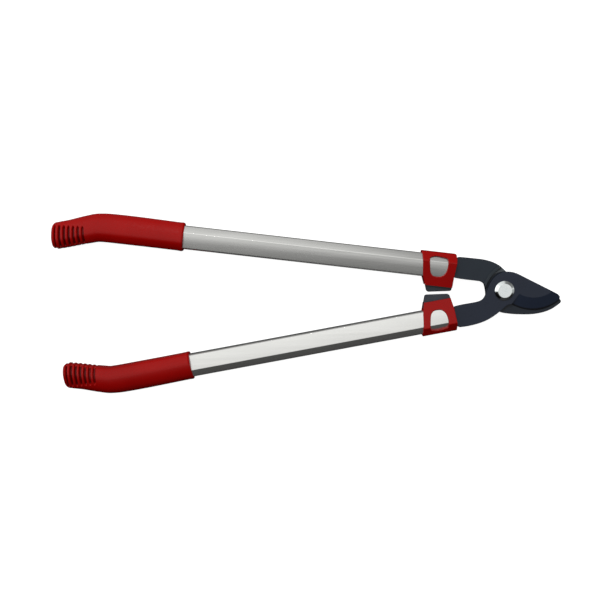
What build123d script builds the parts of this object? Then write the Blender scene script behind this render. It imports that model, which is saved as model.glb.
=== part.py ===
from build123d import *
import math
import os

# Long-handled bypass pruning shears, lying closed on a flat surface.
# Frame: origin where the pivot axis meets the resting surface, +X towards the
# blade tip, +Z up.  All lengths in millimetres.

# ---- driving dimensions -------------------------------------------------
Z_MID = 14.25            # height of the handles' mid-plane above the rest plane
ANGLE = 8.55             # each handle's angle to the tool's axis, degrees
AXIS_OFF = 21.26         # distance from the drawing's origin to each handle's axis
PIVOT_X = -1.35          # pivot axis in the drawing, on the tool's axis

PLATE_T = 4.2            # blade plate thickness
PLATE_GAP = 0.1          # gap between the two plates
TANG_W = 19.0            # tang width
TANG_END = 112.0         # tang end, along the handle
SHOULDER = 68.0          # shoulder where the tang starts

TUBE_HW = 14.7           # tube half width
HOOK_RIDGE_W = 6.3       # ridge position across the tube, hook's handle
BLADE_RIDGE_W = 4.9      # the same, cutting blade's handle
TUBE_RIDGE_Z = 10.5      # tube half height at the ridge
TUBE_IN_Z = 6.3          # half height where the main face meets the inner wall
TUBE_OUT_Z = 4.6         # half height where the outer facet meets the outer wall
TUBE_WALL = 1.6
TUBE_START = 71.8
TUBE_END = 512.0

COLLAR_OUT = 17.9        # collar's outer wall
COLLAR_RIDGE_W = 6.8
COLLAR_RIDGE_Z = 13.0
COLLAR_LIP_W = -25.2     # inner edge of the collar's lips
COLLAR_LIP_Z = 5.6
COLLAR_OUT_Z = 4.9
LIP_GAP_Z = 3.5          # half height of the slot between the lips

BUMP_FACE_Y = 1.95       # meeting faces stand this far from the tool's axis
BUMP_Z = 2.6             # half height of the exposed bumper
BUMP_EDGE = 0.9          # bevel along its meeting face
STEM_T = 87.0
STEM_R = 2.8

PIN_R = 2.5
PIN_T = (76.0, 106.6)

GRIP_START = 413.8
BEND_DEG = 18.5          # bend of the grip's end
GROOVE_T = (536.2, 542.17, 548.13, 554.1, 560.07, 566.03, 572.0)   # at w = -19
GROOVE_LEAN = 7.97       # grooves' lean, degrees from square across the handle
GROOVE_W = 3.0
GROOVE_DEPTH = 2.8
GRIP_P = 2.2             # roundness of the grip's section, 2 is an ellipse
GRIP_EGG = 0.18          # how much thinner the grip is towards its outer side

BOLT_SHANK_R = 6.0
BOLT_THREAD_R = 5.0
BOLT_FLAT = 4.9          # half distance between the shank's flats
HEAD_R = 12.5
HEAD_FLAT_R = 8.9
HEAD_H = 3.1
BUSH_R = 7.5
BUSH_RUN = 0.05          # running clearance, bush on shank

RAMP_C = (13.4, -4.9)    # axis of the joggle's ramp
RAMP_LOW_R = 38.2
RAMP_HIGH_R = 43.7
RAMP_WALL = 2.9          # height of the short wall at the ramp's foot

# ---- helpers ------------------------------------------------------------
CA, SA = math.cos(math.radians(ANGLE)), math.sin(math.radians(ANGLE))
LOW_PLANE = Plane(origin=(AXIS_OFF * SA, -AXIS_OFF * CA, 0),
                  x_dir=(-CA, -SA, 0), z_dir=(0, 0, 1))


def low(t, w):
    """Point of the lower handle (t along it, w outwards) in tool coordinates."""
    return (-CA * t + SA * (AXIS_OFF + w), -SA * t - CA * (AXIS_OFF + w))


def up(t, w):
    x, y = low(t, w)
    return (x, -y)


def to_low(shape):
    return LOW_PLANE.location * shape


def flip(shape):
    return mirror(shape, about=Plane.XZ)


def prism(pts, z0, z1):
    """Straight-sided prism over a plan polygon."""
    face = make_face(Polyline(*pts, close=True))
    return Pos(0, 0, z0) * extrude(face, z1 - z0)


def across(face, t0, t1):
    """Extrude a (w, z) section along the handle from t0 to t1."""
    return extrude(Plane.YZ.offset(t0) * face, t1 - t0)


def near(verts, pts, tol=0.05):
    out = []
    for v in verts:
        for p in pts:
            if abs(v.X - p[0]) < tol and abs(v.Y - p[1]) < tol:
                out.append(v)
                break
    return out


def biggest(shape):
    s = sorted(shape.solids(), key=lambda q: q.volume)
    return s[-1]


# ---- handle tube section -------------------------------------------------
def arc_mid(p, q, sag):
    mx, my = (p[0] + q[0]) / 2, (p[1] + q[1]) / 2
    dx, dy = q[0] - p[0], q[1] - p[1]
    n = math.hypot(dx, dy)
    return (mx - dy / n * sag, my + dx / n * sag)


def tube_face(ridge_w):
    i = (-TUBE_HW, TUBE_IN_Z)
    r = (ridge_w, TUBE_RIDGE_Z)
    o = (TUBE_HW, TUBE_OUT_Z)
    m1, m2 = arc_mid(i, r, 0.55), arc_mid(r, o, 0.22)
    n = lambda p: (p[0], -p[1])
    wire = Curve() + [
        Line(n(i), i), ThreePointArc(i, m1, r), ThreePointArc(r, m2, o),
        Line(o, n(o)), ThreePointArc(n(o), n(m2), n(r)), ThreePointArc(n(r), n(m1), n(i)),
    ]
    f = make_face(wire)
    f = fillet(near(f.vertices(), [i, n(i)]), 3.0)
    f = fillet(near(f.vertices(), [o, n(o)]), 2.2)
    f = fillet(near(f.vertices(), [r, n(r)]), 1.6)
    return f


class Section:
    """A tube's section and the faces that fit it."""

    def __init__(self, ridge_w):
        self.outer = tube_face(ridge_w)
        self.inner = offset(self.outer, amount=-TUBE_WALL)
        self.cavity = offset(self.outer, amount=0.06)
        self.plug = offset(self.outer, amount=-TUBE_WALL - 0.1)


HOOK_TUBE, BLADE_TUBE = Section(HOOK_RIDGE_W), Section(BLADE_RIDGE_W)


def pins_at(radius, z):
    out = []
    for t in PIN_T:
        out.append(Pos(t, 0, 0) * Cylinder(radius, 2 * z))
    return out


def stem_cyl(radius, w0, w1):
    """Cylinder along w at the bumper's stem."""
    return Pos(STEM_T, (w0 + w1) / 2, 0) * Rot(90, 0, 0) * Cylinder(radius, abs(w1 - w0))


# ---- handle pieces, in handle coordinates --------------------------------
def make_tube(sec):
    s = across(sec.outer, TUBE_START, TUBE_END) - across(sec.inner, TUBE_START - 1, TUBE_END + 1)
    for c in pins_at(PIN_R + 0.04, 20):
        s -= c
    s -= stem_cyl(STEM_R + 0.1, -8, -20)
    return biggest(s)


def make_insert(sec):
    s = across(sec.plug, TUBE_START + 0.3, 118.0)
    s -= Pos((60 + TANG_END + 0.4) / 2, 0, 0) * Box(TANG_END + 0.4 - 60, TANG_W + 0.2, PLATE_T + 0.2)
    for c in pins_at(PIN_R + 0.04, 20):
        s -= c
    s -= stem_cyl(STEM_R + 0.3, -12.0, -16)
    return biggest(s)


def make_pins():
    g = []
    for t in PIN_T:
        p = Pos(t, 0, 0) * Cylinder(PIN_R, 18.0)
        p = chamfer(p.edges().filter_by(GeomType.CIRCLE), 0.4)
        g.append(p)
    return g


# where each collar's lips begin and end along its handle, and its bumper's shift there
HOOK_LIP = (68.9, 104.2, -2.2, -1.0)
BLADE_LIP = (71.0, 105.5, 0.0, 1.3)


def collar_plan(lip):
    """Collar outline in plan (t, w)."""
    return [(68.5, 10.5), (69.2, -12.0), (lip[0], COLLAR_LIP_W), (lip[1], COLLAR_LIP_W),
            (109.2, -12.0), (114.2, 19.5), (70.2, 19.5), (69.2, 16.0)]


WINDOW = [(83.9, 12.0), (80.6, 10.2), (79.8, 7.0), (79.7, -3.0), (80.9, -7.4), (83.9, -11.4),
          (87.7, -13.3), (91.8, -13.8), (95.5, -12.9), (98.7, -10.2), (100.9, -5.0), (102.5, 2.0),
          (103.4, 7.4), (103.0, 10.0), (100.9, 11.5)]


def window_face():
    return make_face(Spline(*WINDOW, periodic=True))


def make_collar(sec, lip):
    r = (COLLAR_RIDGE_W, COLLAR_RIDGE_Z)
    l = (COLLAR_LIP_W, COLLAR_LIP_Z)
    o = (COLLAR_OUT, COLLAR_OUT_Z)
    n = lambda p: (p[0], -p[1])
    f = make_face(Polyline(l, r, o, n(o), n(r), n(l), close=True))
    f = fillet(near(f.vertices(), [r, n(r)]), 3.0)
    f = fillet(near(f.vertices(), [o, n(o)]), 3.0)
    body = across(f, 55, 125)
    pts = collar_plan(lip)
    plan = make_face(Polyline(*pts, close=True))
    plan = fillet(near(plan.vertices(), [pts[5]]), 2.0)
    plan = fillet(near(plan.vertices(), [pts[7], pts[0]]), 2.5)
    plan = fillet(near(plan.vertices(), [pts[1], pts[4]]), 12.0)
    body = body & (Pos(0, 0, -20) * extrude(plan, 40))
    # rounded rim
    outer = [e for e in body.edges()
             if not (abs(e.center().Y - COLLAR_LIP_W) < 0.2) and e.length > 0.2]
    rim = [e for e in outer if e.geom_type != GeomType.LINE or
           abs(e.tangent_at(0.5).X) < 0.9]
    rim = [e for e in rim if abs((e @ 0).Z) > 0.01 and (e @ 0).Z * (e @ 1).Z > 0]
    try:
        body = fillet(rim, 0.9)
    except Exception as err:
        print("collar rim left sharp:", err)
    body -= across(sec.cavity, TUBE_START - 0.05, 130)
    body -= Pos(67, 0, 0) * Box(12, TANG_W + 0.3, PLATE_T + 0.3)
    body -= Pos(90, -28.8, 0) * Box(80, 22.0, 2 * LIP_GAP_Z)
    body -= stem_cyl(STEM_R + 0.1, -10, -20)
    body = biggest(body - Pos(0, 0, -30) * extrude(window_face(), 60))
    # softened rim round the windows, on the outer faces only
    rim = []
    for e in body.edges():
        c = e.center()
        if 78 < c.X < 105 and -15 < c.Y < 13 and e.length > 0.3 and abs((e @ 0).Z - (e @ 1).Z) < 4:
            top = COLLAR_RIDGE_Z - (COLLAR_RIDGE_W - c.Y) * (COLLAR_RIDGE_Z - COLLAR_LIP_Z) / (COLLAR_RIDGE_W - COLLAR_LIP_W)
            if c.Y > COLLAR_RIDGE_W:
                top = COLLAR_RIDGE_Z - (c.Y - COLLAR_RIDGE_W) * (COLLAR_RIDGE_Z - COLLAR_OUT_Z) / (COLLAR_OUT - COLLAR_RIDGE_W)
            if abs(abs(c.Z) - top) < 0.5:
                rim.append(e)
    try:
        body = chamfer(rim, 0.6)
    except Exception as err:
        print("window rim left sharp:", err)
    return biggest(body)


def make_bumper(lip):
    # plan: follows the collar's sides, meeting face parallel to the tool's axis
    def face_w(t):
        return (BUMP_FACE_Y - SA * t) / CA - AXIS_OFF
    a, b = lip[2], lip[3]
    pts = [(70.2 + 0.4 * a, -17.9), (71.05 + a, COLLAR_LIP_W), (71.6 + a, face_w(71.6 + a)),
           (100.9 + b, face_w(100.9 + b)), (104.1 + b, COLLAR_LIP_W), (106.8 + 0.6 * b, -17.9)]
    plan = make_face(Polyline(*pts, close=True))
    plan = fillet(near(plan.vertices(), [pts[2], pts[3]]), 3.0)
    inner = (Pos(0, 0, -LIP_GAP_Z + 0.06) * extrude(plan, 2 * LIP_GAP_Z - 0.12))
    inner = inner & (Pos(90, COLLAR_LIP_W + 10.0, 0) * Box(90, 20.16, 30))
    # exposed nose, thinner than the part between the lips, bevelled along the meeting face
    nose = (Pos(90, COLLAR_LIP_W - 9.0, 0) * Box(90, 20, 2 * BUMP_Z)) & (Pos(0, 0, -20) * extrude(plan, 40))
    front = Plane(origin=(0, -AXIS_OFF, 0), x_dir=(SA, CA, 0), z_dir=(CA, -SA, 0))
    y1 = BUMP_FACE_Y + BUMP_EDGE
    half = [(BUMP_FACE_Y - 1.0, BUMP_Z - 0.9 * BUMP_EDGE - 0.9), (y1, BUMP_Z), (y1 + 40, BUMP_Z)]
    roof = make_face(Polyline(*half, *[(y, -z) for y, z in reversed(half)], close=True))
    roof = fillet(near(roof.vertices(), [(y1, BUMP_Z), (y1, -BUMP_Z)]), 1.2)
    nose = nose & extrude(front * roof, 160)
    s = inner + nose
    s += stem_cyl(STEM_R, -18.6, -12.6)
    return biggest(s)


# grip: (t, w, bend angle, half width, half height) along its bent axis
def rear_w(t):
    return 0.9 - (t - 520.0) * math.tan(math.radians(BEND_DEG))


GRIP_SECTIONS = [
    (GRIP_START, 0.30, 0.0, 17.75, 13.9),
    (416.3, 0.35, 0.0, 18.15, 14.2),
    (420.8, 0.40, 0.0, 17.80, 13.95),
    (450.0, 0.80, 0.0, 17.95, 14.05),
    (485.0, 1.00, 0.0, 18.15, 14.2),
    (506.0, 0.90, 0.0, 18.05, 14.1),
    (520.0, 0.00, BEND_DEG / 2, 17.70, 13.9),
    (534.0, rear_w(534.0), BEND_DEG, 17.30, 13.6),
    (556.0, rear_w(556.0), BEND_DEG, 16.70, 13.1),
    (592.0, rear_w(592.0), BEND_DEG, 15.60, 12.4),
]
GRIP_END = (571.7, -15.66, 5.9, 16.8, 12.7)   # last full section
END_R = 7.2                                    # rounding of the grip's end
CORE_SECTIONS = [
    (511.2, 0.2, 0.0, 10.4, 6.4),
    (521.0, -0.5, BEND_DEG / 2, 11.0, 7.8),
    (534.0, rear_w(534.0), BEND_DEG, 11.0, 8.0),
    (553.0, rear_w(553.0), BEND_DEG, 10.4, 7.8),
    (563.0, rear_w(563.0), BEND_DEG, 9.6, 7.4),
]


def super_face(hw, hz, p=2.5, egg=0.0):
    """Closed rounded section, squarer than an ellipse; egg thins its outer side."""
    pts = []
    for k in range(24):
        a = 2 * math.pi * k / 24
        c, s = math.cos(a), math.sin(a)
        x, y = math.copysign(abs(c) ** (2 / p), c), math.copysign(abs(s) ** (2 / p), s)
        pts.append((x * hw, y * (1 - egg * x) * hz * (1 - 0.9 * egg * egg)))
    return make_face(Spline(*pts, periodic=True))


def along(sections, grow=0.0, p=2.5, egg=0.0):
    faces = []
    for t, w, a, hw, hz in sections:
        ar = math.radians(a)
        pl = Plane(origin=(t, w, 0), x_dir=(math.sin(ar), math.cos(ar), 0),
                   z_dir=(math.cos(ar), -math.sin(ar), 0))
        faces.append(pl * super_face(hw + grow, hz + grow, p, egg))
    return loft(faces)


def make_grip_body():
    # main length, then a rounded end set slightly askew to the bent axis
    body = along(GRIP_SECTIONS[:-1] + [GRIP_END], 0.0, GRIP_P, GRIP_EGG)
    t, w, a, hw, hz = GRIP_END
    na = math.radians(a)
    cap = [GRIP_END]
    r = END_R
    for d in (5.6, 3.9, 2.3, 1.1, 0.35, 0.05):
        inset = r - math.sqrt(r * r - (r - d) ** 2)
        u = r - d
        cap.append((t + u * math.cos(na), w - u * math.sin(na), a, hw - inset, hz - inset))
    s = biggest(body + along(cap, 0.0, GRIP_P, GRIP_EGG))
    outer = s
    # finger grooves over the inner side of the bent end
    inner = along([(t, w, a, hw - GROOVE_DEPTH, hz - GROOVE_DEPTH) for t, w, a, hw, hz in GRIP_SECTIONS],
                  0.0, GRIP_P, GRIP_EGG)
    zone = prism([(530, 1.1), (579, -3.3), (579, -60), (530, -60)], -30, 30)
    for t in GROOVE_T:
        slab = Pos(t, -19, 0) * Rot(0, 0, -GROOVE_LEAN) * Box(GROOVE_W, 90, 60)
        outer = outer - ((slab & zone) - inner)
    outer = biggest(outer)
    outer -= along(CORE_SECTIONS[:-1] + [(563.25, rear_w(563.25), BEND_DEG, 9.6, 7.4)], 0.15)
    return biggest(outer)


def make_grip(body, sec):
    return biggest(body - across(sec.cavity, GRIP_START - 2, TUBE_END + 0.15))


def make_core(sec):
    plug = across(sec.plug, 446.0, TUBE_END - 0.1)
    s = plug + along(CORE_SECTIONS)
    return biggest(s)


# ---- blade plates --------------------------------------------------------
ZC0, ZC1 = -PLATE_T / 2, PLATE_T / 2                    # cutting blade
ZH1 = ZC0 - PLATE_GAP                                    # hook's top at the pivot
ZH0 = ZH1 - PLATE_T


def cutting_outline():
    h = TANG_W / 2
    v = (-61.49, -45.65)
    c = Curve() + [
        Line(low(TANG_END, -h), low(SHOULDER, -h)),
        Line(low(SHOULDER, -h), low(SHOULDER, -12.4)),
        Spline(low(SHOULDER, -12.4), (-51.2, -16.0), (-43.5, -15.0), (-36.0, -13.75),
               (-30.4, -11.9), (-26.6, -8.3), (-24.3, -3.2), (-22.3, 2.4), (-19.6, 9.0),
               (-13.2, 17.7), (-4.0, 23.0), (5.5, 23.7), (12.5, 22.3), (17.5, 20.1),
               tangents=[(0.97, 0.25), (48.5, -26.2)]),
        Line((17.5, 20.1), (66.0, -6.1)),
        TangentArc((66.0, -6.1), (71.3, -10.7), tangent=(48.5, -26.2)),
        Line((71.3, -10.7), (71.1, -15.6)),
        Spline((71.1, -15.6), (62.5, -21.7), (53.3, -25.5), (44.1, -27.5), (34.8, -27.3),
               (26.4, -25.8), (19.0, -23.4), (13.0, -20.8), (8.2, -18.5)),
        Spline((8.2, -18.5), (4.9, -18.4), (2.0, -19.6), (-1.4, -22.4), (-6.9, -27.2),
               (-12.8, -31.6), (-20.4, -36.3), (-28.2, -39.8), (-39.7, -43.1), (-48.0, -44.7), v),
        Line(v, low(SHOULDER, h)),
        Line(low(SHOULDER, h), low(TANG_END, h)),
        Line(low(TANG_END, h), low(TANG_END, -h)),
    ]
    f = make_face(c)
    f = fillet(near(f.vertices(), [v], 0.2), 4.2)
    f = fillet(near(f.vertices(), [low(SHOULDER, -12.4)], 0.2), 2.0)
    f = fillet(near(f.vertices(), [(71.1, -15.6), (71.3, -10.7)], 0.2), 1.2)
    f = fillet(near(f.vertices(), [low(TANG_END, h), low(TANG_END, -h)], 0.2), 3.0)
    return f


def hook_outline():
    h = TANG_W / 2
    v = (-61.55, 45.27)
    c = Curve() + [
        Line(up(TANG_END, h), up(SHOULDER, h)),
        Line(up(SHOULDER, h), v),
        Spline(v, (-48.0, 43.7), (-39.6, 42.5), (-30.0, 41.1), (-22.0, 39.2), (-15.0, 36.6),
               (-8.9, 33.2), (-1.2, 27.2), (5.5, 20.3), (12.5, 12.5), (17.6, 4.5), (20.2, -4.0)),
        Spline((20.2, -4.0), (23.0, -11.0), (28.5, -16.8), (36.5, -20.6), (46.0, -21.6),
               (56.0, -19.9), (64.6, -17.0), (71.6, -14.3)),
        ThreePointArc((71.6, -14.3), (73.4, -16.8), (72.0, -19.9)),
        Spline((72.0, -19.9), (66.2, -24.1), (58.9, -28.1), (51.1, -30.7), (43.3, -32.2),
               (35.5, -32.9), (27.7, -32.9), (19.9, -32.5), (12.1, -31.9), (4.3, -30.8),
               (-3.5, -29.2), (-9.6, -26.6), (-15.6, -21.6), (-20.4, -14.4), (-23.4, -6.2),
               (-24.3, 0.6), (-25.3, 5.4), (-27.6, 9.8), (-32.0, 12.6), (-38.0, 13.9),
               tangents=[(-0.80, -0.6), (-0.985, 0.16)]),
        Spline((-38.0, 13.9), (-46.0, 15.1), up(SHOULDER, -12.4), tangents=[(-0.985, 0.16), (-0.97, 0.25)]),
        Line(up(SHOULDER, -12.4), up(SHOULDER, -h)),
        Line(up(SHOULDER, -h), up(TANG_END, -h)),
        Line(up(TANG_END, -h), up(TANG_END, h)),
    ]
    f = make_face(c)
    f = fillet(near(f.vertices(), [v], 0.2), 4.2)
    f = fillet(near(f.vertices(), [up(SHOULDER, -12.4)], 0.2), 2.0)
    f = fillet(near(f.vertices(), [up(TANG_END, h), up(TANG_END, -h)], 0.2), 3.0)
    return f


EDGE_R = 0.4             # softened outline edges of the plates


def soften(solid, keep, r=EDGE_R):
    """Round the outline edges on the flat faces; keep() drops edges to be left."""
    edges = [e for e in solid.edges() if keep(e)]
    try:
        return fillet(edges, r)
    except Exception as err:
        print("edge rounding left out:", err)
        return solid


def make_cutting_blade():
    s = Pos(0, 0, ZC0) * extrude(cutting_outline(), PLATE_T)

    s = soften(s, lambda e: abs((e @ 0).Z - (e @ 1).Z) < 1e-6 and abs((e @ 0).Z) > 2)
    # hollow-ground bevel: cone about an axis on the back side of the edge
    ax, ay = 38.1, 27.4
    r0, r1 = 38.0, 54.9
    z0, z1 = ZC1, ZC0 + 0.35
    k = (z1 - z0) / (r1 - r0)
    prof = make_face(Polyline((r0 - 6, z0 - 6 * k), (r1 + 12, z1 + 12 * k), (r1 + 12, 12), (r0 - 6, 12), close=True))
    cone = Pos(ax, ay, 0) * revolve(Plane.XZ * prof, Axis.Z, 360)
    # the grind stops on a slanted line beside the pivot
    p, q = (9.0, -17.0), (18.0, -5.2)
    d = math.hypot(q[0] - p[0], q[1] - p[1])
    ux, uy = (q[0] - p[0]) / d, (q[1] - p[1]) / d
    lim = prism([(p[0] - 30 * ux, p[1] - 30 * uy), (q[0] + 60 * ux, q[1] + 60 * uy), (120, 60), (120, -90)], -10, 10)
    s = biggest(s - (cone & lim))
    s -= Pos(PIVOT_X, 0, 0) * Cylinder(BUSH_R + 0.02, 30)
    for t in PIN_T:
        x, y = low(t, 0)
        s -= Pos(x, y, 0) * Cylinder(PIN_R + 0.04, 30)
    return biggest(s)


def make_hook():
    f = hook_outline()
    # joggled plate: flat under the cutting blade, a short wall beside the blade's
    # round heel, then a gentle slope up to the handle's level
    phi = math.atan2(ZC1 - ZH1, RAMP_HIGH_R - RAMP_LOW_R)
    b = PLATE_T * math.tan(phi / 2)
    r_in = RAMP_LOW_R - 6
    pts = [(r_in, ZH0), (RAMP_LOW_R + b, ZH0), (RAMP_HIGH_R + b, ZC0), (220, ZC0),
           (220, ZC1), (RAMP_HIGH_R, ZC1), (RAMP_LOW_R + 0.6, ZH1 + RAMP_WALL), (RAMP_LOW_R, ZH1), (r_in, ZH1)]
    prof = make_face(Polyline(*pts, close=True))
    prof = fillet(near(prof.vertices(), [pts[1], pts[5]]), 5.0)
    prof = fillet(near(prof.vertices(), [pts[2]]), 1.5)
    prof = fillet(near(prof.vertices(), [pts[6], pts[7]]), 0.8)
    ramp = Pos(RAMP_C[0], RAMP_C[1], 0) * revolve(Plane.XZ * prof, Axis.Z, 360)
    ramp = ramp & prism([(-300, -60), (8, -60), (8, 150), (-300, 150)], -25, 25)
    zc = (ZH0 + ZH1) / 2
    flat = Pos(RAMP_C[0], RAMP_C[1], zc) * Cylinder(r_in + 2, PLATE_T) + Pos(80, 0, zc) * Box(150, 200, PLATE_T)
    sheet = (flat + ramp).clean()
    s = biggest((Pos(0, 0, -20) * extrude(f, 40)) & sheet)

    def keep(e):
        p, q, c = e @ 0, e @ 1, e.center()
        if abs(p.X - q.X) < 1e-4 and abs(p.Y - q.Y) < 1e-4 and e.length < 5:
            return False
        jaw = c.X > 20 and c.Y > -23
        bend_line = e.geom_type == GeomType.CIRCLE and e.radius > 20
        return not jaw and not bend_line
    s = soften(s, keep)
    # double-D hole for the bolt's shank
    hole = Cylinder(BOLT_SHANK_R + 0.05, 30) & Box(40, 2 * (BOLT_FLAT + 0.05), 30)
    s -= Pos(PIVOT_X, 0, 0) * hole
    for t in PIN_T:
        x, y = up(t, 0)
        s -= Pos(x, y, 0) * Cylinder(PIN_R + 0.04, 30)
    return biggest(s)


# ---- pivot hardware ------------------------------------------------------
Z_HW0 = ZC1 + 0.05                # friction washer's underside
Z_HW1 = Z_HW0 + 0.5
Z_SPR = ZH0 - 0.9                 # underside of the spring washer
NUT_H = 4.0
CROWN_H = 2.0


def ring(r_in, r_out, z0, z1):
    return Pos(0, 0, (z0 + z1) / 2) * (Cylinder(r_out, z1 - z0) - Cylinder(r_in, 2 * (z1 - z0)))


def make_bolt():
    h0, h1 = Z_HW1, Z_HW1 + HEAD_H
    pts = [(0, h0), (HEAD_R, h0), (HEAD_R, h0 + 0.6), (HEAD_FLAT_R, h1), (0, h1)]
    prof = make_face(Polyline(*pts, close=True))
    prof = fillet(near(prof.vertices(), [pts[2]]), 0.35)
    prof = fillet(near(prof.vertices(), [pts[3]]), 0.3)
    head = revolve(Plane.XZ * prof, Axis.Z, 360)
    zend = -Z_MID
    sp = [(0, h0 + 0.5), (BOLT_SHANK_R, h0 + 0.5), (BOLT_SHANK_R, ZH0), (BOLT_THREAD_R - 0.05, ZH0),
          (BOLT_THREAD_R - 0.05, zend + 0.8), (BOLT_THREAD_R - 0.85, zend), (0, zend)]
    shank = revolve(Plane.XZ * make_face(Polyline(*sp, close=True)), Axis.Z, 360)
    flats = Pos(0, 0, (ZH1 + ZH0) / 2) * (Box(40, 40, PLATE_T) - Box(40, 2 * BOLT_FLAT, PLATE_T + 1))
    shank -= flats
    return biggest(head + shank)


def make_spring_washer():
    r0, r1, th = 5.3, 10.0, 0.55
    z_top = ZH0
    pts = [(r0, Z_SPR), (r0, Z_SPR + th), (r1, z_top), (r1, z_top - th)]
    return biggest(revolve(Plane.XZ * make_face(Polyline(*pts, close=True)), Axis.Z, 360))


def make_nut():
    z1 = Z_SPR
    z0 = z1 - NUT_H
    hexa = Pos(0, 0, z0) * extrude(RegularPolygon(8.0, 6, major_radius=False), NUT_H)
    cone = Pos(0, 0, z0) * Cylinder(9.0, NUT_H, align=(Align.CENTER, Align.CENTER, Align.MIN))
    cone = chamfer(cone.edges().filter_by(GeomType.CIRCLE), 0.6)
    hexa = hexa & cone
    crown = Pos(0, 0, z0 - CROWN_H) * Cylinder(7.2, CROWN_H + 0.5, align=(Align.CENTER, Align.CENTER, Align.MIN))
    crown = fillet(crown.edges().sort_by(Axis.Z)[:1], 0.9)
    s = hexa + crown
    s -= Cylinder(BOLT_THREAD_R, 60)
    s -= ring(BOLT_THREAD_R - 0.5, 6.3, z0 - CROWN_H + 0.35, z0)
    s -= ring(BOLT_THREAD_R - 0.5, 5.7, z0 - CROWN_H - 1, z0 - CROWN_H + 0.5)
    return biggest(s)


def make_nut_insert():
    z0 = Z_SPR - NUT_H
    return biggest(ring(BOLT_THREAD_R, 6.25, z0 - CROWN_H + 0.4, z0 - 0.05))


# ---- assemble and write --------------------------------------------------
pins = make_pins()
grip_body = make_grip_body()

nodes = {}
for side, sec, lip in (("blade", BLADE_TUBE, BLADE_LIP), ("hook", HOOK_TUBE, HOOK_LIP)):
    for name, shape in (("tube", make_tube(sec)), ("tang_insert", make_insert(sec)),
                        ("collar", make_collar(sec, lip)), ("bumper", make_bumper(lip)),
                        ("grip", make_grip(grip_body, sec)), ("grip_core", make_core(sec))):
        placed = to_low(shape)
        nodes[side + "_" + name] = [placed if side == "blade" else flip(placed)]
nodes["blade_tang_pins"] = [to_low(p) for p in pins]
nodes["hook_tang_pins"] = [flip(to_low(p)) for p in pins]
nodes["cutting_blade"] = [make_cutting_blade()]
nodes["hook_blade"] = [make_hook()]
nodes["pivot_bolt"] = [make_bolt()]
nodes["pivot_bush"] = [ring(BOLT_SHANK_R + BUSH_RUN, BUSH_R, ZC0 + 0.05, ZC1 - 0.02)]
nodes["head_washer"] = [ring(BOLT_SHANK_R + 0.06, 11.9, Z_HW0, Z_HW1)]
nodes["spring_washer"] = [make_spring_washer()]
nodes["lock_nut"] = [make_nut()]
nodes["nut_insert"] = [make_nut_insert()]

# the drawing is moved so that the pivot axis is the frame's Z axis; the pivot's own
# pieces are turned about that axis already
PIVOT_NODES = ("pivot_bolt", "pivot_bush", "head_washer", "spring_washer", "lock_nut", "nut_insert")

os.makedirs("parts", exist_ok=True)
for name, shapes in sorted(nodes.items()):
    moved = []
    for s in shapes:
        for q in s.solids():
            moved.append(Pos(0 if name in PIVOT_NODES else -PIVOT_X, 0, Z_MID) * q)
    out = moved[0] if len(moved) == 1 else Compound(children=moved)
    out.label = name
    export_step(out, "parts/" + name + ".step")
    print(name, len(moved), round(sum(q.volume for q in moved), 1))
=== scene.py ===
import math

import bpy
import numpy as np
from mathutils import Matrix, Vector


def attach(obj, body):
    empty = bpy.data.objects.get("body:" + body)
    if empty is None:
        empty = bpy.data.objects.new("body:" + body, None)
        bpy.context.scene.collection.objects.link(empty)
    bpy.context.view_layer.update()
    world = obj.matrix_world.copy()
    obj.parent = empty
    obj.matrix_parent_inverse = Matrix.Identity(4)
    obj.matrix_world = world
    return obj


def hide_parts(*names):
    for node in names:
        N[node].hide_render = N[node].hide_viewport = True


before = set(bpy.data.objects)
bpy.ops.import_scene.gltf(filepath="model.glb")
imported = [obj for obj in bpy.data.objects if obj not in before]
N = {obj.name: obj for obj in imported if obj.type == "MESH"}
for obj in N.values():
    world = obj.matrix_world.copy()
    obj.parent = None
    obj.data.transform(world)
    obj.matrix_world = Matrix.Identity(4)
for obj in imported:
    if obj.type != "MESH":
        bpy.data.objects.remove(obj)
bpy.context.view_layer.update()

# ---------------------------------------------------------------- frame sizes
# Handle coordinates: t along a handle from the pivot's foot, w outwards, z up.
MM = 0.001
Z_MID = 14.25
ANGLE = math.radians(8.55)
AXIS_OFF = 21.26
PIVOT_X = -1.35
CA, SA = math.cos(ANGLE), math.sin(ANGLE)


def handle_to_world(p, side):
    """p: (n, 3) array of (t, w, z) in mm; side +1 hook handle (+Y), -1 blade handle."""
    p = np.asarray(p, float)
    x = -CA * p[:, 0] + SA * (AXIS_OFF + p[:, 1]) - PIVOT_X
    y = SA * p[:, 0] + CA * (AXIS_OFF + p[:, 1])
    return np.stack([x, side * y, p[:, 2] + Z_MID], 1) * MM


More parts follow.
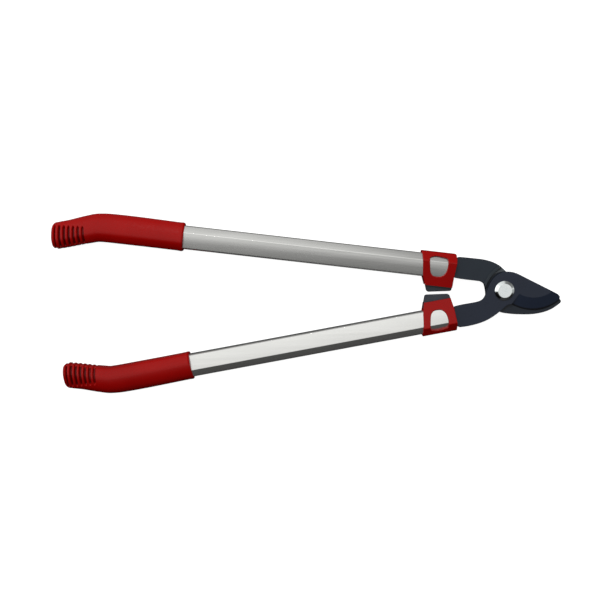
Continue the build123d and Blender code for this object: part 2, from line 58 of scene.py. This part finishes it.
# ---------------------------------------------------------------- node helpers
class Mat:
    """Small wrapper to build a node material around one Principled shader."""

    def __init__(self, name):
        self.m = bpy.data.materials.new(name)
        self.m.use_nodes = True
        self.t = self.m.node_tree
        self.t.nodes.clear()
        self.out = self.t.nodes.new("ShaderNodeOutputMaterial")
        self.b = self.t.nodes.new("ShaderNodeBsdfPrincipled")
        self.t.links.new(self.b.outputs["BSDF"], self.out.inputs["Surface"])
        self._coord = None

    def node(self, kind, **kw):
        n = self.t.nodes.new(kind)
        for k, v in kw.items():
            setattr(n, k, v)
        return n

    def link(self, a, b):
        self.t.links.new(a, b)

    def coord(self):
        if self._coord is None:
            self._coord = self.node("ShaderNodeTexCoord").outputs["Object"]
        return self._coord

    def mapped(self, scale=(1, 1, 1), rot=(0, 0, 0), loc=(0, 0, 0)):
        n = self.node("ShaderNodeMapping")
        n.inputs["Scale"].default_value = scale
        n.inputs["Rotation"].default_value = rot
        n.inputs["Location"].default_value = loc
        self.link(self.coord(), n.inputs["Vector"])
        return n.outputs["Vector"]

    def noise(self, scale, detail=3.0, rough=0.55, vec=None, distort=0.0):
        n = self.node("ShaderNodeTexNoise")
        n.inputs["Scale"].default_value = scale
        n.inputs["Detail"].default_value = detail
        n.inputs["Roughness"].default_value = rough
        n.inputs["Distortion"].default_value = distort
        self.link(vec if vec is not None else self.coord(), n.inputs["Vector"])
        return n.outputs["Fac"]

    def voronoi(self, scale, feature="F1", vec=None, rand=1.0):
        n = self.node("ShaderNodeTexVoronoi", feature=feature)
        n.inputs["Scale"].default_value = scale
        n.inputs["Randomness"].default_value = rand
        self.link(vec if vec is not None else self.coord(), n.inputs["Vector"])
        return n.outputs["Distance"]

    def ramp(self, fac, stops, interp="LINEAR"):
        n = self.node("ShaderNodeValToRGB")
        n.color_ramp.interpolation = interp
        e = n.color_ramp.elements
        while len(e) < len(stops):
            e.new(0.5)
        for el, (pos, col) in zip(e, stops):
            el.position = pos
            el.color = (*col, 1.0) if len(col) == 3 else col
        self.link(fac, n.inputs["Fac"])
        return n.outputs["Color"]

    def remap(self, val, a, b, lo, hi, smooth=False):
        n = self.node("ShaderNodeMapRange", interpolation_type="SMOOTHSTEP" if smooth else "LINEAR")
        n.inputs["From Min"].default_value = a
        n.inputs["From Max"].default_value = b
        n.inputs["To Min"].default_value = lo
        n.inputs["To Max"].default_value = hi
        self.link(val, n.inputs["Value"])
        return n.outputs["Result"]

    def math(self, op, a, b=None):
        n = self.node("ShaderNodeMath", operation=op)
        for i, v in enumerate((a, b)):
            if v is None:
                continue
            if isinstance(v, (int, float)):
                n.inputs[i].default_value = v
            else:
                self.link(v, n.inputs[i])
        return n.outputs[0]

    def mix(self, fac, a, b, blend="MIX"):
        n = self.node("ShaderNodeMix", data_type="RGBA", blend_type=blend)
        ins = {s.identifier: s for s in n.inputs}
        for key, v in (("Factor_Float", fac), ("A_Color", a), ("B_Color", b)):
            if isinstance(v, (int, float)):
                ins[key].default_value = v
            elif isinstance(v, tuple):
                ins[key].default_value = (*v, 1.0)
            else:
                self.link(v, ins[key])
        return [o for o in n.outputs if o.identifier == "Result_Color"][0]

    def bump(self, height, strength, distance, normal=None):
        n = self.node("ShaderNodeBump")
        n.inputs["Strength"].default_value = strength
        n.inputs["Distance"].default_value = distance
        self.link(height, n.inputs["Height"])
        if normal is not None:
            self.link(normal, n.inputs["Normal"])
        return n.outputs["Normal"]

    def sep(self, vec):
        n = self.node("ShaderNodeSeparateXYZ")
        self.link(vec, n.inputs[0])
        return n.outputs

    def set(self, name, v):
        s = self.b.inputs[name]
        if isinstance(v, (int, float)):
            s.default_value = v
        elif isinstance(v, tuple):
            s.default_value = (*v, 1.0) if len(v) == 3 else v
        else:
            self.link(v, s)


# ---------------------------------------------------------------- materials
RUB = (0.0108, 0.0145, 0.0208)
# painted light on the hook's joggle slope
SLOPE_LIGHT = (0.0540, 0.0630, 0.0715)
# painted light on the hook's shaded lower flat beside the joggle
STEP = (0.0600, 0.0690, 0.0780)
# painted shade beside the cutting blade's heel
HEEL_SHADE = (0.0110, 0.0140, 0.0190)
# painted shade on the cutting blade's ground bevel
BEVEL_SHADE = (0.0094, 0.0142, 0.0278)


def mat_blade(name, tint, hook):
    """Dark coated steel; the hook is rubbed greyer where the other blade slides over it."""
    m = Mat(name)
    big = m.noise(28, 4, 0.6)
    fine = m.noise(900, 3, 0.6)
    speck = m.noise(2600, 2, 0.5)
    col = m.ramp(big, [(0.30, tuple(0.90 * v for v in tint)), (0.52, tint), (0.75, tuple(1.12 * v for v in tint))])
    dust = m.remap(fine, 0.60, 0.78, 0.0, 0.25, True)
    col = m.mix(dust, col, tuple(1.6 * v + 0.003 for v in tint))
    r = m.math("ADD", m.remap(big, 0.3, 0.7, 0.27, 0.34), m.remap(speck, 0.3, 0.7, -0.03, 0.03))
    nz = m.sep(m.node("ShaderNodeNewGeometry").outputs["Normal"])[2]
    xyz = m.sep(m.coord())
    if hook:
        scuff = m.remap(m.noise(160, 3, 0.6), 0.25, 0.75, 0.75, 1.0)
        flat = m.math("MULTIPLY", m.remap(xyz[2], 0.01300, 0.01215, 0.0, 1.0, True), m.remap(nz, 0.90, 0.98, 0.0, 1.0, True))
        col = m.mix(m.math("MULTIPLY", flat, scuff), col, RUB)
        # the joggle's slope, round its own axis; painted light: the slope is coloured much lighter, standing in for the
        # light it faces away from
        dx, dy = m.math("ADD", xyz[0], -0.01475), m.math("ADD", xyz[1], 0.0049)
        rad = m.math("SQRT", m.math("ADD", m.math("MULTIPLY", dx, dx), m.math("MULTIPLY", dy, dy)))
        zone = m.math("MULTIPLY", m.remap(rad, 0.0465, 0.0440, 0.0, 1.0, True), m.remap(xyz[1], 0.000, 0.004, 0.0, 1.0, True))
        # painted light: the lower flat in the joggle's zone is coloured lighter, standing in for light missing in its
        # shade
        col = m.mix(m.math("MULTIPLY", zone, flat), col, STEP)
        slope = m.math("MULTIPLY", m.remap(nz, 0.995, 0.93, 0.0, 1.0, True), m.remap(nz, 0.55, 0.70, 0.0, 1.0, True))
        col = m.mix(m.math("MULTIPLY", zone, slope), col, SLOPE_LIGHT)
        # painted shade: a dark band on the hook's lower level beside the other blade's round heel, where the heel's
        # edge shades it
        heel = m.math("SQRT", m.math("ADD", m.math("MULTIPLY", xyz[0], xyz[0]), m.math("MULTIPLY", xyz[1], xyz[1])))
        heel_shade = m.math("MULTIPLY", zone, m.remap(heel, 0.0246, 0.0236, 0.0, 1.0, True))
        col = m.mix(heel_shade, col, HEEL_SHADE)
    else:
        # ground bevel, coloured darker as painted shade for its tilt away from the light, with the cutting edge itself
        # the darkest as a painted shadow line
        bevel = m.math("MULTIPLY", m.remap(nz, 0.992, 0.980, 0.0, 1.0, True), m.remap(nz, 0.90, 0.95, 0.0, 1.0, True))
        col = m.mix(bevel, col, BEVEL_SHADE)
        # painted shadow: the steep faces along the cutting edge are coloured near black
        edge = m.math("MULTIPLY", m.remap(xyz[2], 0.01318, 0.01288, 0.0, 1.0, True), m.remap(nz, 0.60, 0.80, 0.0, 1.0, True))
        col = m.mix(edge, col, (0.0012, 0.0018, 0.0035))
        r = m.math("ADD", r, m.math("MULTIPLY", edge, 0.40))
    m.set("Base Color", col)
    m.set("Roughness", r)
    m.set("Metallic", 0.0)
    m.set("Specular IOR Level", 0.28)
    n = m.bump(speck, 0.10, 0.00005)
    n = m.bump(fine, 0.10, 0.00012, n)
    m.set("Normal", n)
    return m.m


def mat_tube(name, rot):
    m = Mat(name)
    drawn = m.mapped(scale=(3.0, 900.0, 900.0), rot=(0, 0, rot))
    lines = m.noise(1.0, 3, 0.6, vec=drawn)
    soft = m.mapped(scale=(2.0, 160.0, 160.0), rot=(0, 0, rot))
    bands = m.noise(1.0, 2, 0.5, vec=soft)
    grain = m.noise(1800, 2, 0.5)
    col = m.ramp(bands, [(0.3, (0.82, 0.82, 0.803)), (0.7, (0.88, 0.88, 0.863))])
    m.set("Base Color", col)
    m.set("Metallic", 0.92)
    r = m.math("ADD", m.remap(lines, 0.3, 0.7, 0.20, 0.24), m.remap(grain, 0.3, 0.7, -0.01, 0.01))
    m.set("Roughness", r)
    n = m.bump(lines, 0.02, 0.00002)
    m.set("Normal", n)
    return m.m


def mat_red(name, base, rough, tex, grooved):
    m = Mat(name)
    big = m.noise(22, 3, 0.55)
    fine = m.noise(1500, 2, 0.5)
    pit = m.voronoi(tex, "F1")
    col = m.ramp(big, [(0.28, tuple(0.93 * v for v in base)), (0.5, base), (0.74, tuple(1.06 * v for v in base))])
    if grooved:
        # painted shade: the groove floors are coloured near black, standing in for the shade inside the grooves
        groove_shade = m.node("ShaderNodeAttribute", attribute_name="groove").outputs["Fac"]
        col = m.mix(m.remap(groove_shade, 0.25, 0.95, 0.0, 0.90, True), col, (0.036, 0.0007, 0.0007))
    m.set("Base Color", col)
    r = m.math("ADD", m.remap(big, 0.3, 0.7, rough - 0.02, rough + 0.03), m.remap(fine, 0.3, 0.7, -0.02, 0.02))
    m.set("Roughness", r)
    m.set("Specular IOR Level", 0.20)
    n = m.bump(pit, 0.08, 0.00010)
    n = m.bump(fine, 0.05, 0.00006, n)
    m.set("Normal", n)
    return m.m


def mat_rubber(name, k):
    m = Mat(name)
    big = m.noise(60, 3, 0.6)
    fine = m.noise(1400, 3, 0.6)
    col = m.ramp(big, [(0.3, (0.022 * k, 0.026 * k, 0.034 * k)), (0.55, (0.027 * k, 0.032 * k, 0.041 * k)), (0.78, (0.033 * k, 0.038 * k, 0.047 * k))])
    m.set("Base Color", col)
    m.set("Roughness", m.math("ADD", m.remap(big, 0.3, 0.7, 0.50, 0.58), m.remap(fine, 0.3, 0.7, -0.04, 0.04)))
    m.set("Specular IOR Level", 0.4)
    m.set("Normal", m.bump(fine, 0.10, 0.00010))
    return m.m


def mat_zinc():
    m = Mat("bright_zinc")
    xyz = m.sep(m.coord())
    rr = m.math("SQRT", m.math("ADD", m.math("MULTIPLY", xyz[0], xyz[0]), m.math("MULTIPLY", xyz[1], xyz[1])))
    rings = m.node("ShaderNodeTexWave", wave_type="RINGS", rings_direction="Z", wave_profile="SIN")
    rings.inputs["Scale"].default_value = 900
    rings.inputs["Distortion"].default_value = 1.2
    rings.inputs["Detail"].default_value = 2
    m.link(m.coord(), rings.inputs["Vector"])
    mottle = m.noise(330, 3, 0.6)
    fine = m.noise(1600, 2, 0.5)
    col = m.ramp(mottle, [(0.3, (0.86, 0.925, 0.925)), (0.55, (0.945, 0.995, 0.99)), (0.75, (0.975, 1.0, 1.0))])
    m.set("Base Color", col)
    m.set("Metallic", 1.0)
    m.set("Roughness", m.math("ADD", m.remap(mottle, 0.3, 0.7, 0.11, 0.18), m.remap(fine, 0.3, 0.7, -0.02, 0.02)))
    n = m.bump(rings.outputs["Fac"], 0.03, 0.00004)
    n = m.bump(fine, 0.05, 0.00006, n)
    m.set("Normal", n)
    return m.m


def mat_metal(name, lo, hi, rough, scale=400):
    m = Mat(name)
    a = m.noise(scale, 3, 0.6)
    b = m.noise(scale * 6, 2, 0.5)
    m.set("Base Color", m.ramp(a, [(0.3, lo), (0.7, hi)]))
    m.set("Metallic", 1.0)
    m.set("Roughness", m.remap(b, 0.3, 0.7, rough - 0.05, rough + 0.05))
    m.set("Normal", m.bump(b, 0.06, 0.00005))
    return m.m


def mat_plain(name, lo, hi, rough, scale=200):
    m = Mat(name)
    a = m.noise(scale, 3, 0.6)
    b = m.noise(scale * 8, 2, 0.5)
    m.set("Base Color", m.ramp(a, [(0.3, lo), (0.7, hi)]))
    m.set("Roughness", m.remap(b, 0.3, 0.7, rough - 0.05, rough + 0.05))
    m.set("Normal", m.bump(b, 0.08, 0.00008))
    return m.m


CUTTER = mat_blade("blade_coat", (0.0132, 0.0176, 0.0300), False)
HOOK = mat_blade("hook_coat", (0.0134, 0.0188, 0.0270), True)
TUBE_H = mat_tube("tube_alu_hook", ANGLE)
TUBE_B = mat_tube("tube_alu_blade", -ANGLE)
COLLAR = mat_red("red_collar", (0.240, 0.0010, 0.0006), 0.24, 1300, False)
GRIP = mat_red("red_grip", (0.258, 0.0012, 0.0007), 0.27, 1100, True)
RUBBER = mat_rubber("bumper_rubber", 1.0)
# painted shade: the hook side's bumper uses a darker copy of the same rubber, for the shadow its collar's lip casts
RUBBER_H_SHADED = mat_rubber("bumper_rubber_hook_shaded", 0.62)
ZINC = mat_zinc()
PIN = mat_metal("pin_steel", (0.48, 0.48, 0.48), (0.58, 0.58, 0.57), 0.35)
SPRING = mat_metal("spring_steel", (0.14, 0.14, 0.155), (0.20, 0.20, 0.21), 0.38)
BRONZE = mat_metal("bronze", (0.46, 0.31, 0.14), (0.58, 0.41, 0.20), 0.42)
NYLON = mat_plain("nylon", (0.70, 0.71, 0.67), (0.78, 0.79, 0.75), 0.5)
CORE = mat_plain("core_plastic", (0.035, 0.035, 0.038), (0.055, 0.055, 0.06), 0.55)

FINISH = {
    "hook_blade": HOOK, "cutting_blade": CUTTER, "hook_tube": TUBE_H, "blade_tube": TUBE_B,
    "hook_collar": COLLAR, "blade_collar": COLLAR, "hook_bumper": RUBBER_H_SHADED, "blade_bumper": RUBBER,
    "hook_grip": GRIP, "blade_grip": GRIP, "hook_grip_core": CORE, "blade_grip_core": CORE,
    "hook_tang_insert": CORE, "blade_tang_insert": CORE, "hook_tang_pins": PIN, "blade_tang_pins": PIN,
    "pivot_bolt": ZINC, "lock_nut": ZINC, "head_washer": ZINC, "spring_washer": SPRING,
    "pivot_bush": BRONZE, "nut_insert": NYLON,
}
for name, mat in FINISH.items():
    o = N[name]
    o.data.materials.clear()
    o.data.materials.append(mat)


# ---------------------------------------------------------------- grips
BEND = 18.5


def rear_w(t):
    return 0.9 - (t - 520.0) * math.tan(math.radians(BEND))


STATIONS = np.array([
    (413.8, 0.30, 0.0, 17.75, 13.90),
    (416.3, 0.35, 0.0, 18.10, 14.15),
    (419.8, 0.40, 0.0, 17.80, 13.95),
    (435.0, 0.60, 0.0, 17.85, 14.00),
    (450.0, 0.80, 0.0, 17.95, 14.05),
    (485.0, 1.00, 0.0, 18.15, 14.16),
    (506.0, 0.90, 0.0, 18.05, 14.10),
    (520.0, 0.00, BEND / 2, 17.70, 13.90),
    (534.0, rear_w(534.0), BEND, 17.30, 13.60),
    (556.0, rear_w(556.0), BEND, 16.70, 13.10),
    (571.1, -15.6, 5.9, 16.80, 12.70),
])
GRIP_START = 413.8
END_R = 7.2
# grooves: t where each crosses w = -19, leaning with the tool's axis
GROOVE_T = (536.2, 542.17, 548.13, 554.1, 560.07, 566.1, 572.7)
GROOVE_LEAN = 0.14
GROOVE_R = 1.75
GROOVE_DEPTH = 4.0
# tilt of the grip's upper face across its width: (w of 18 mm, degrees outwards); a soft
# ridge lies a little inside the middle
TILT = [(-17.9, -84), (-17.2, -62), (-15.6, -40), (-13.0, -32), (-10.0, -26), (-8.0, -19.5), (-6.5, -12), (-5.0, -4),
        (-3.5, 3), (0.0, 10), (4.0, 16), (8.0, 23), (12.0, 34), (15.0, 48), (17.0, 66), (18.0, 84)]


def pchip(x, y, xi):
    """Monotone cubic through (x, y), sampled at xi."""
    h = np.diff(x)
    d = np.diff(y) / h
    m = np.zeros_like(y)
    for k in range(1, len(x) - 1):
        if d[k - 1] * d[k] > 0:
            w1, w2 = 2 * h[k] + h[k - 1], h[k] + 2 * h[k - 1]
            m[k] = (w1 + w2) / (w1 / d[k - 1] + w2 / d[k])
    m[0], m[-1] = d[0], d[-1]
    i = np.clip(np.searchsorted(x, xi) - 1, 0, len(h) - 1)
    s = (xi - x[i]) / h[i]
    return ((1 + 2 * s) * (1 - s) ** 2 * y[i] + s * (1 - s) ** 2 * h[i] * m[i]
            + s * s * (3 - 2 * s) * y[i + 1] + s * s * (s - 1) * h[i] * m[i + 1])


def grip_section(nu):
    """Closed section, widths and heights as shares of the half sizes, from the outer edge round."""
    tw, td = (np.array(v, float) for v in zip(*TILT))
    w = np.linspace(tw[0], tw[-1], 1200)
    slope = np.tan(np.radians(pchip(tw, td, w)))
    z = -np.concatenate([[0.0], np.cumsum((slope[1:] + slope[:-1]) / 2 * np.diff(w))])
    z = z - z.max() + 14.0
    top = np.stack([w, z], 1)[z > 0.6][::-1]
    top = np.vstack([[18.0, 0.0], [18.0, 0.5], top, [-18.0, max(top[-1, 1] - 0.8, 0.6)], [-18.0, 0.0]])
    ring = np.vstack([top, (top * (1, -1))[::-1][1:]])
    d = np.concatenate([[0.0], np.cumsum(np.hypot(*np.diff(ring, axis=0).T))])
    q = np.linspace(0, d[-1], nu, endpoint=False)
    return np.interp(q, d, ring[:, 0]) / 18.0, np.interp(q, d, ring[:, 1]) / 14.0


def make_grip(side, name, body, node):
    nu = 168
    sx = STATIONS[:, 0]
    t1 = np.arange(GRIP_START + 1.0, 530.0, 1.4)
    t2 = np.arange(530.0, sx[-1] - 0.1, 0.30)
    tt = np.concatenate([t1, t2, [sx[-1]]])
    w, a, hw, hz = (pchip(sx, STATIONS[:, k], tt) for k in (1, 2, 3, 4))
    rows = [(tt[k], w[k], math.radians(a[k]), hw[k], hz[k]) for k in range(len(tt))]
    # rounded front rim, from inside the tube's wall outwards
    front = [(GRIP_START + 0.4, 0.1, 0.0, 13.2, 8.4), (GRIP_START, 0.25, 0.0, 15.6, 11.6)]
    for q in np.linspace(0, math.pi / 2, 6):
        front.append((GRIP_START + 1.0 - math.cos(q), 0.3, 0.0,
                      17.75 - 1.0 * (1 - math.sin(q)), 13.9 - 1.0 * (1 - math.sin(q))))
    rows = front + rows
    # rounded end, shrinking to the middle of the end face
    te, we, ae, hwe, hze = STATIONS[-1]
    ar = math.radians(ae)
    for q in np.linspace(0, math.pi / 2, 34)[1:]:
        u, inset = END_R * math.sin(q), END_R * (1 - math.cos(q))
        rows.append((te + u * math.cos(ar), we - u * math.sin(ar), ar, hwe - inset, hze - inset))
    u0 = END_R
    for k, f in enumerate((0.82, 0.62, 0.42, 0.22, 0.06)):
        u = u0 + 0.90 * (1 - f * f)
        rows.append((te + u * math.cos(ar), we - u * math.sin(ar), ar, (hwe - END_R) * f, (hze - END_R) * f))
    cu, su = grip_section(nu)
    P = np.zeros((len(rows), nu, 3))
    for i, (t, ww, aa, ah, bh) in enumerate(rows):
        P[i, :, 0] = t + cu * ah * math.sin(aa)
        P[i, :, 1] = ww + cu * ah * math.cos(aa)
        P[i, :, 2] = su * bh
    # surface normals of the plain form, for the grooves
    du = np.roll(P, -1, 1) - np.roll(P, 1, 1)
    dv = np.gradient(P, axis=0)
    nrm = np.cross(du, dv)
    nrm /= np.maximum(np.linalg.norm(nrm, axis=2, keepdims=True), 1e-9)
    centre = P.mean(1, keepdims=True)
    flipn = np.sign(((P - centre) * nrm).sum(2, keepdims=True).mean())
    nrm *= flipn
    depth = np.zeros(P.shape[:2])
    tq, wq = P[:, :, 0], P[:, :, 1]
    for gt in GROOVE_T:
        wend = -3.9 - (gt - 536.2) * 1.7 / 35.8
        last = 1.0 if gt > 570.0 else 0.0
        over = np.maximum(wq - wend, 0.0)
        d = np.hypot(tq - gt - GROOVE_LEAN * (wq + 19.0), 0.42 * over)
        x = np.clip(((1.12 + 0.12 * last) * GROOVE_R - d) / (0.62 * GROOVE_R), 0, 1)
        depth = np.maximum(depth, GROOVE_DEPTH * (0.74 + 0.26 * (gt - 536.2) / 35.8 + 0.25 * last) * x * x * (3 - 2 * x))
    # the grooves run out towards the grip's side
    x = np.clip((np.abs(nrm[:, :, 2]) - 0.10) / 0.55, 0, 1)
    depth *= 0.22 + 0.78 * x * x * (3 - 2 * x)
    P = P - nrm * depth[:, :, None]
    n = len(rows)
    verts = handle_to_world(P.reshape(-1, 3), side)
    tip = np.array([[te + (u0 + 0.905) * math.cos(ar), we - (u0 + 0.905) * math.sin(ar), 0.0]])
    verts = np.vstack([verts, handle_to_world(tip, side)])
    faces = []
    for i in range(n - 1):
        for j in range(nu):
            k = (j + 1) % nu
            f = (i * nu + j, i * nu + k, (i + 1) * nu + k, (i + 1) * nu + j)
            faces.append(f)
    last = (n - 1) * nu
    for j in range(nu):
        faces.append((last + j, last + (j + 1) % nu, n * nu))
    me = bpy.data.meshes.new(name)
    me.from_pydata([tuple(v) for v in verts], [], faces)
    me.update()
    ob = bpy.data.objects.new(name, me)
    bpy.context.scene.collection.objects.link(ob)
    import bmesh
    bm = bmesh.new()
    bm.from_mesh(me)
    # close the ring hidden inside the tube's end so that the piece is one closed skin
    edge = [e for e in bm.edges if e.is_boundary]
    bmesh.ops.holes_fill(bm, edges=edge, sides=0)
    bmesh.ops.recalc_face_normals(bm, faces=bm.faces)
    bm.to_mesh(me)
    bm.free()
    me.shade_smooth()
    # depth share of each point, which the grip material turns into painted shade in the grooves
    groove_shade = me.attributes.new("groove", "FLOAT", "POINT")
    groove_shade.data.foreach_set("value", np.concatenate([(depth / GROOVE_DEPTH).ravel(), [0.0]]).astype(np.float32))
    me.materials.append(GRIP)
    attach(ob, body)
    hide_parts(node)
    return ob


make_grip(+1, "hook_grip_skin", "hook_side", "hook_grip")
make_grip(-1, "blade_grip_skin", "blade_side", "blade_grip")


# ---------------------------------------------------------------- stage and light
def plane(name, size, z):
    me = bpy.data.meshes.new(name)
    h = size / 2
    me.from_pydata([(-h, -h, z), (h, -h, z), (h, h, z), (-h, h, z)], [], [(0, 1, 2, 3)])
    ob = bpy.data.objects.new(name, me)
    bpy.context.scene.collection.objects.link(ob)
    return ob


floor = plane("floor", 14.0, -0.0002)
fm = Mat("floor_paper")
fn = fm.noise(40, 2, 0.5)
fm.set("Base Color", fm.ramp(fn, [(0.3, (0.30, 0.30, 0.30)), (0.7, (0.32, 0.32, 0.32))]))
fm.set("Roughness", 0.9)
fm.set("Specular IOR Level", 0.1)
fm.set("Emission Color", (1.0, 1.0, 1.0))
fm.set("Emission Strength", 0.93)
floor.data.materials.append(fm.m)
floor.visible_diffuse = False
floor.visible_glossy = False
floor.visible_transmission = False

# A soft studio dome: brightest a little behind the vertical on the far side, dark on
# the near side, with two bright ends along the object's length that light the floor.
world = bpy.data.worlds.new("studio")
bpy.context.scene.world = world
world.use_nodes = True
wt = world.node_tree
bg = wt.nodes["Background"]


def wnode(kind, **kw):
    n = wt.nodes.new(kind)
    for k, v in kw.items():
        setattr(n, k, v)
    return n


tc = wnode("ShaderNodeTexCoord")
sp = wnode("ShaderNodeSeparateXYZ")
wt.links.new(tc.outputs["Generated"], sp.inputs[0])
at = wnode("ShaderNodeMath", operation="ARCTAN2")
wt.links.new(sp.outputs["Y"], at.inputs[0])
wt.links.new(sp.outputs["Z"], at.inputs[1])
mr = wnode("ShaderNodeMapRange")
mr.inputs["From Min"].default_value = -math.pi
mr.inputs["From Max"].default_value = math.pi
wt.links.new(at.outputs[0], mr.inputs["Value"])
cr = wnode("ShaderNodeValToRGB")
cr.color_ramp.interpolation = "EASE"
# tilt from the vertical towards +Y in degrees, radiance
DOME = [(-180, 0.020), (-100, 0.014), (-72, 0.036), (-52, 0.046), (-40, 0.070), (-26, 0.235), (-11, 0.70), (4, 0.85),
        (28, 0.95), (52, 0.84), (66, 0.60), (82, 0.34), (105, 0.22), (180, 0.03)]
els = cr.color_ramp.elements
while len(els) < len(DOME):
    els.new(0.5)
for el, (deg, v) in zip(els, DOME):
    el.position = (deg + 180.0) / 360.0
    el.color = (v, v, v * 0.985, 1.0)
wt.links.new(mr.outputs["Result"], cr.inputs["Fac"])
# the dome fades towards +X
fade = wnode("ShaderNodeMapRange", interpolation_type="SMOOTHSTEP")
fade.inputs["From Min"].default_value = 0.45
fade.inputs["From Max"].default_value = 0.90
fade.inputs["To Min"].default_value = 1.0
fade.inputs["To Max"].default_value = 0.55
wt.links.new(sp.outputs["X"], fade.inputs["Value"])


def wramp(sock, a, b, lo, hi):
    n = wnode("ShaderNodeMapRange", interpolation_type="SMOOTHSTEP")
    for key, v in (("From Min", a), ("From Max", b), ("To Min", lo), ("To Max", hi)):
        n.inputs[key].default_value = v
    wt.links.new(sock, n.inputs["Value"])
    return n.outputs["Result"]


def wmath(op, a, b):
    n = wnode("ShaderNodeMath", operation=op)
    for k, v in enumerate((a, b)):
        if isinstance(v, float):
            n.inputs[k].default_value = v
        else:
            wt.links.new(v, n.inputs[k])
    return n.outputs[0]


# cards seen in the bolt head's bevel: a dark one on the near left, a dim far right corner
card = wmath("MULTIPLY", wramp(sp.outputs["X"], -0.06, -0.28, 0.0, 1.0), wramp(sp.outputs["Y"], -0.17, -0.28, 0.0, 1.0))
card = wmath("MULTIPLY", card, wramp(sp.outputs["Z"], 0.80, 0.64, 0.0, 1.0))
dim = wmath("MULTIPLY", wramp(sp.outputs["X"], 0.12, 0.44, 0.0, 1.0), wramp(sp.outputs["Y"], -0.05, 0.14, 0.0, 1.0))
shade = wmath("MULTIPLY", fade.outputs["Result"], wmath("SUBTRACT", 1.0, wmath("MULTIPLY", card, 0.97)))
shade = wmath("MULTIPLY", shade, wmath("SUBTRACT", 1.0, wmath("MULTIPLY", dim, 0.70)))
# the near side is a little brighter towards -X
lift = wmath("MULTIPLY", wramp(sp.outputs["X"], 0.05, -0.24, 0.0, 1.0), wramp(sp.outputs["Y"], -0.08, -0.22, 0.0, 1.0))
lift = wmath("MULTIPLY", lift, wramp(sp.outputs["Z"], 0.64, 0.80, 0.0, 1.0))
shade = wmath("MULTIPLY", shade, wmath("ADD", 1.0, wmath("MULTIPLY", lift, 0.32)))
# and bright ones low on the left and on the right
left = wmath("MULTIPLY", wramp(sp.outputs["X"], -0.48, -0.66, 0.0, 1.0), wramp(sp.outputs["Y"], -0.22, -0.14, 0.0, 1.0))
right = wmath("MULTIPLY", wramp(sp.outputs["X"], 0.78, 0.90, 0.0, 1.0), wramp(sp.outputs["Y"], -0.45, -0.25, 0.0, 1.0))
right = wmath("MULTIPLY", right, wramp(sp.outputs["Y"], 0.02, 0.20, 1.0, 0.25))
glow = wmath("ADD", wmath("MULTIPLY", left, 0.45), wmath("MULTIPLY", right, 0.34))
mul = wnode("ShaderNodeMix", data_type="RGBA", blend_type="MULTIPLY")
sock = {k.identifier: k for k in mul.inputs}
sock["Factor_Float"].default_value = 1.0
wt.links.new(cr.outputs["Color"], sock["A_Color"])
wt.links.new(shade, sock["B_Color"])
add = wnode("ShaderNodeMix", data_type="RGBA", blend_type="ADD")
asock = {k.identifier: k for k in add.inputs}
asock["Factor_Float"].default_value = 1.0
wt.links.new([o for o in mul.outputs if o.identifier == "Result_Color"][0], asock["A_Color"])
wt.links.new(glow, asock["B_Color"])
wt.links.new([o for o in add.outputs if o.identifier == "Result_Color"][0], bg.inputs["Color"])
bg.inputs["Strength"].default_value = 1.0

# soft key above the far side, level with the object's middle; the dome alone shows in the metal
key = bpy.data.lights.new("key", "AREA")
key.shape = "SQUARE"
key.size = 0.45
key.energy = 14.4
ko = bpy.data.objects.new("key", key)
bpy.context.scene.collection.objects.link(ko)
toward = Vector((-0.06, 0.69, 0.72)).normalized()
ko.location = Vector((-0.26, 0.0, 0.014)) + 1.40 * toward
ko.rotation_euler = toward.to_track_quat("Z", "Y").to_euler()
ko.visible_glossy = False

# ---------------------------------------------------------------- camera
S = 1.28                     # mm per pixel in the handles' mid-plane
DIST = 703.0                 # pixels
RX, RY, RZ = (math.radians(v) for v in (8.349, 0.734, 2.020))
TX, TY = 0.957, 1.761
PIV = (261.768 + PIVOT_X, 0.623)
R = (Matrix.Rotation(RX, 3, "X") @ Matrix.Rotation(RY, 3, "Y") @ Matrix.Rotation(RZ, 3, "Z"))
q = R.transposed() @ (Vector((0, 0, DIST)) - Vector((TX, TY, 0)))
loc = Vector((q.x * S - PIV[0], q.y * S - PIV[1], q.z * S + Z_MID)) * MM
cam = bpy.data.cameras.new("camera")
cam.sensor_fit = "HORIZONTAL"
cam.sensor_width = 36.0
cam.lens = 36.0 * DIST / 600.0
cam.clip_start = 0.01
cam.clip_end = 50.0
co = bpy.data.objects.new("camera", cam)
bpy.context.scene.collection.objects.link(co)
rot = R.transposed().to_4x4()
co.matrix_world = Matrix.Translation(loc) @ rot
bpy.context.scene.camera = co

vs = bpy.context.scene.view_settings
vs.view_transform = "Standard"
vs.look = "None"
vs.exposure = 0.0
vs.gamma = 1.0
